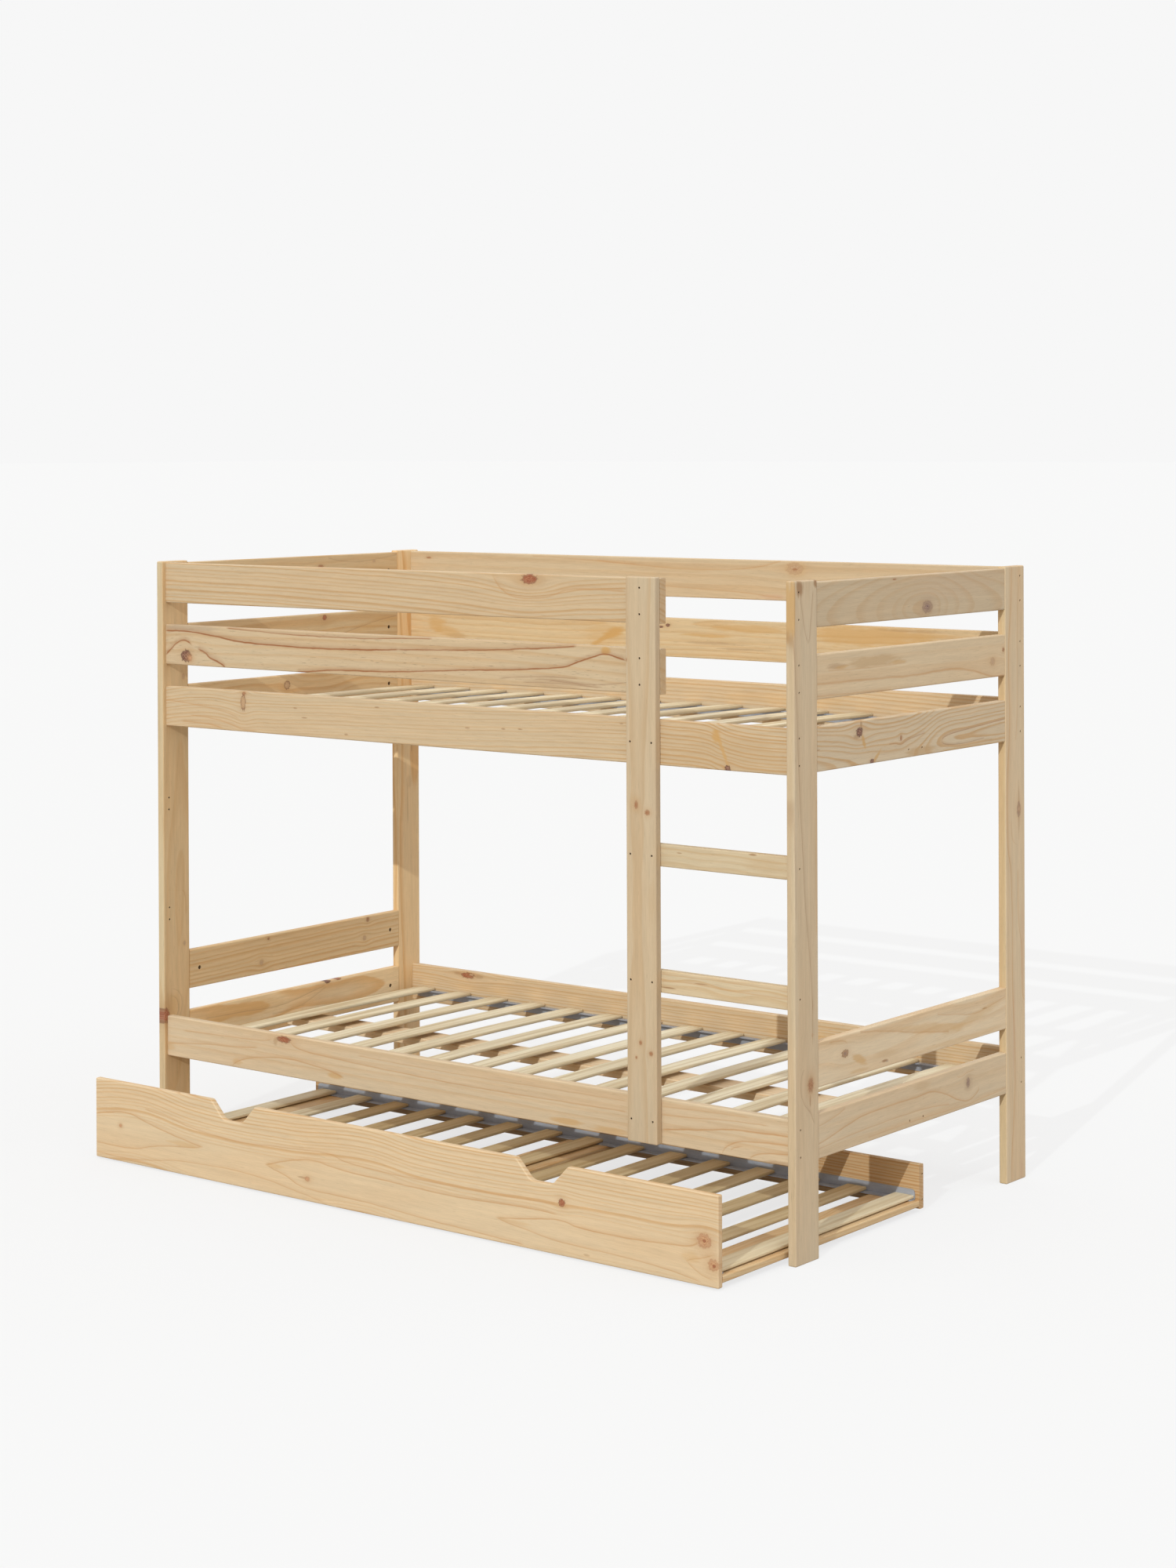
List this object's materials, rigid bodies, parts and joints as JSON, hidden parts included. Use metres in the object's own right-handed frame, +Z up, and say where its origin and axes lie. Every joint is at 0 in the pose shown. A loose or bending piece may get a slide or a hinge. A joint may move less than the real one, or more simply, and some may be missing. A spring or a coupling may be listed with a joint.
{
  "type": "triple bunk bed",
  "caption": "Wooden bunk bed of flat boards with upper and lower slatted beds, guard rails, a fixed ladder at the front and a wide low trundle with finger notches that rolls out.",
  "frame": {"origin": "on the floor, in the middle of the bed as it stands with its trundle pulled out: the middle of the bounding box's bottom", "axes": "+X along the bed to the end with the ladder, +Y from the front with the trundle to the back, +Z up"},
  "size_m": [1.96, 1.205, 1.463],
  "materials": {
    "leg_pine": "satin",
    "rail_pine": "satin",
    "end_rail_pine": "satin",
    "ladder_pine": "satin",
    "trundle_pine": "satin",
    "slat_birch": "matte",
    "angle_steel": "satin",
    "castor_steel": "satin",
    "castor_nylon": "matte"
  },
  "bodies": {
    "frame": {"leg_front_left": "leg_pine", "leg_front_right": "leg_pine", "leg_rear_left": "leg_pine", "leg_rear_right": "leg_pine", "front_guard_top": "rail_pine", "front_guard_mid": "rail_pine", "front_bed_rail": "rail_pine", "front_low_rail": "rail_pine", "rear_guard_top": "rail_pine", "rear_guard_mid": "rail_pine", "rear_bed_rail": "rail_pine", "rear_low_rail": "rail_pine", "beam_lower": "rail_pine", "beam_upper": "rail_pine", "left_end_top": "end_rail_pine", "left_end_mid": "end_rail_pine", "left_end_bed": "end_rail_pine", "left_end_head": "end_rail_pine", "left_end_low": "end_rail_pine", "right_end_top": "end_rail_pine", "right_end_mid": "end_rail_pine", "right_end_bed": "end_rail_pine", "right_end_head": "end_rail_pine", "right_end_low": "end_rail_pine", "ladder_post": "ladder_pine", "rung_lower": "ladder_pine", "rung_upper": "ladder_pine", "lower_slat_base": "slat_birch", "upper_slat_base": "slat_birch"},
    "trundle": {"trundle_front": "trundle_pine", "trundle_back": "trundle_pine", "trundle_board_left": "trundle_pine", "trundle_board_middle": "trundle_pine", "trundle_board_right": "trundle_pine", "trundle_angle_front": "angle_steel", "trundle_angle_back": "angle_steel", "trundle_slat_01": "slat_birch", "trundle_slat_02": "slat_birch", "trundle_slat_03": "slat_birch", "trundle_slat_04": "slat_birch", "trundle_slat_05": "slat_birch", "trundle_slat_06": "slat_birch", "trundle_slat_07": "slat_birch", "trundle_slat_08": "slat_birch", "trundle_slat_09": "slat_birch", "trundle_slat_10": "slat_birch", "trundle_slat_11": "slat_birch", "trundle_slat_12": "slat_birch", "trundle_slat_13": "slat_birch", "trundle_slat_14": "slat_birch", "trundle_slat_15": "slat_birch", "castor_housing_front_left": "castor_steel", "castor_housing_front_right": "castor_steel", "castor_housing_rear_left": "castor_steel", "castor_housing_rear_right": "castor_steel"},
    "wheel_front_left": {"castor_wheel_front_left": "castor_nylon"},
    "wheel_front_right": {"castor_wheel_front_right": "castor_nylon"},
    "wheel_rear_left": {"castor_wheel_rear_left": "castor_nylon"},
    "wheel_rear_right": {"castor_wheel_rear_right": "castor_nylon"}
  },
  "joints": [
    {"name": "trundle_roll_out", "type": "slide", "parent": "frame", "child": "trundle", "axis": [0, -1, 0], "range_m": [-0.239, 0.5]},
    {"name": "wheel_front_left_spin", "type": "hinge", "parent": "trundle", "child": "wheel_front_left", "pos_m": [-0.8875, -0.487, 0.011], "axis": [1, 0, 0], "continuous": true},
    {"name": "wheel_front_right_spin", "type": "hinge", "parent": "trundle", "child": "wheel_front_right", "pos_m": [0.8875, -0.487, 0.011], "axis": [1, 0, 0], "continuous": true},
    {"name": "wheel_rear_left_spin", "type": "hinge", "parent": "trundle", "child": "wheel_rear_left", "pos_m": [-0.8875, 0.0745, 0.011], "axis": [1, 0, 0], "continuous": true},
    {"name": "wheel_rear_right_spin", "type": "hinge", "parent": "trundle", "child": "wheel_rear_right", "pos_m": [0.8875, 0.0745, 0.011], "axis": [1, 0, 0], "continuous": true}
  ],
  "couplings": [
    {"joint": "wheel_front_left_spin", "follows": "trundle_roll_out", "rad_per_m": 90.909},
    {"joint": "wheel_front_right_spin", "follows": "trundle_roll_out", "rad_per_m": 90.909},
    {"joint": "wheel_rear_left_spin", "follows": "trundle_roll_out", "rad_per_m": 90.909},
    {"joint": "wheel_rear_right_spin", "follows": "trundle_roll_out", "rad_per_m": 90.909}
  ]
}
